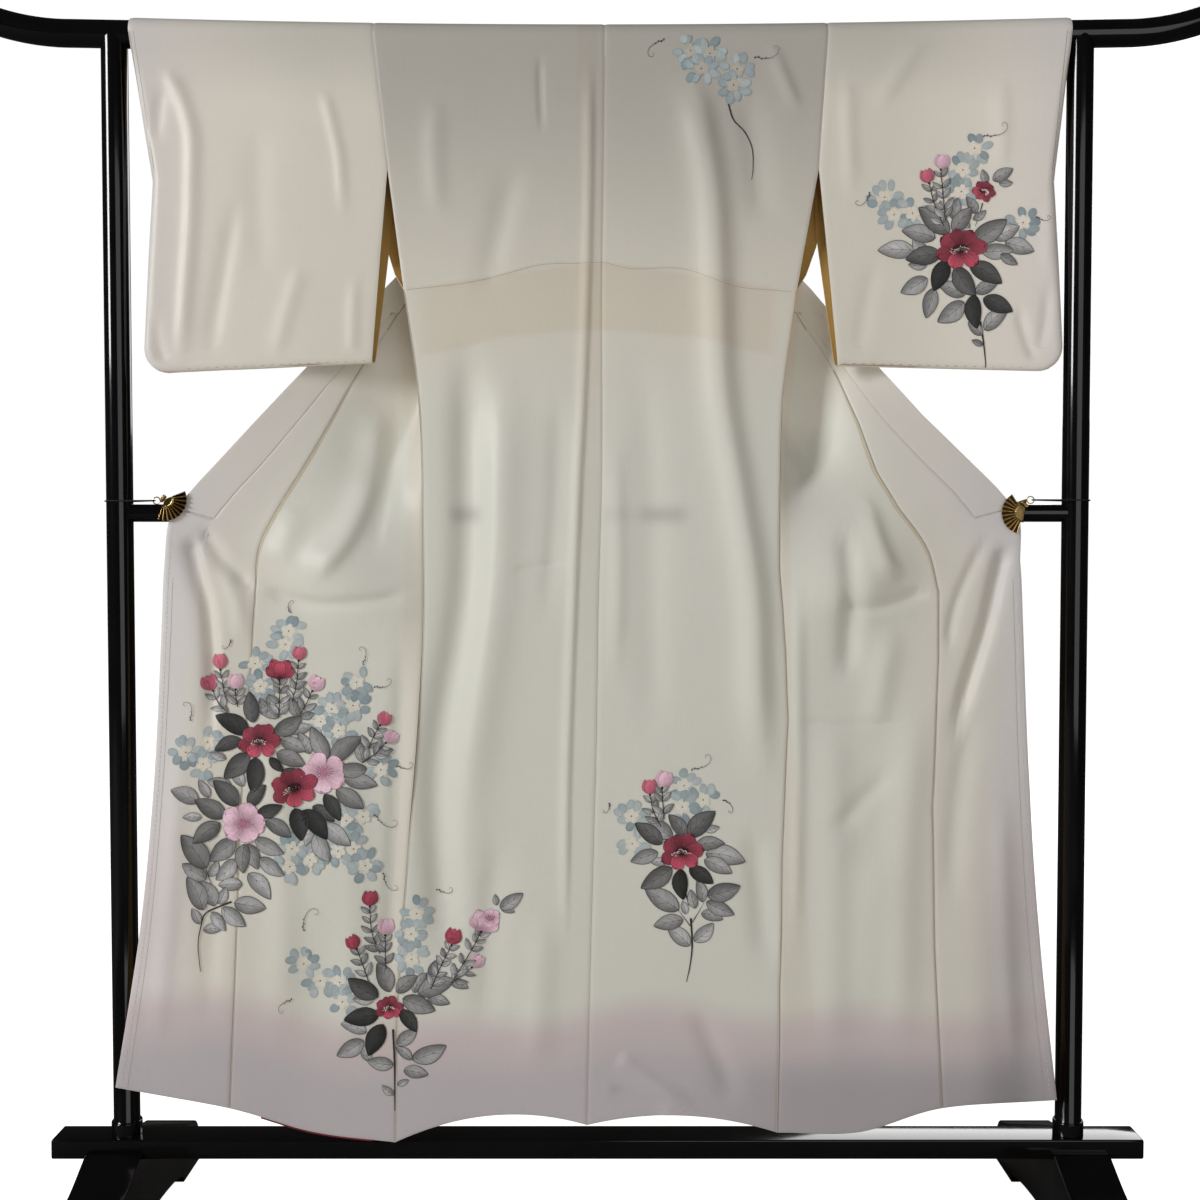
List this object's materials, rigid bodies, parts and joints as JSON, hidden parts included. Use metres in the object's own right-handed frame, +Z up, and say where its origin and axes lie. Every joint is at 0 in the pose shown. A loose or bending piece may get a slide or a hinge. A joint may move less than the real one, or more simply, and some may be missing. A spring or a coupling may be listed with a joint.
{
  "type": "lined silk kimono on a lacquered kimono stand with two fan clips",
  "caption": "Painted silk kimono hung back-out over the top rail of a black lacquered stand, its fronts drawn wide and held at the middle rail by gilt fan-shaped clips",
  "frame": {"origin": "On the floor, in the middle of the rectangle round the stand.", "axes": "+Z up; +X along the rails, to the right of someone who looks at the kimono's back; +Y away from that viewer, so the kimono's back faces -Y."},
  "size_m": [1.8004, 0.52, 1.7731],
  "materials": {
    "silk": "soft satin crepe",
    "lacquer": "high gloss black lacquer",
    "brass": "polished",
    "elastic": "woven cover, matt"
  },
  "bodies": {
    "root": {"body_left": "silk", "body_right": "silk", "clip_barrel_left": "brass", "clip_barrel_right": "brass", "clip_cord_left": "elastic", "clip_cord_right": "elastic", "clip_fan_left": "brass", "clip_fan_right": "brass", "clip_jaw_left": "brass", "clip_jaw_right": "brass", "clip_ring_left": "brass", "clip_ring_right": "brass", "collar": "silk", "foot_left": "lacquer", "foot_right": "lacquer", "mid_rail": "lacquer", "okumi_left": "silk", "okumi_right": "silk", "plank": "lacquer", "post_left": "lacquer", "post_right": "lacquer", "sleeve_left": "silk", "sleeve_right": "silk", "top_rail": "lacquer"}
  },
  "joints": []
}
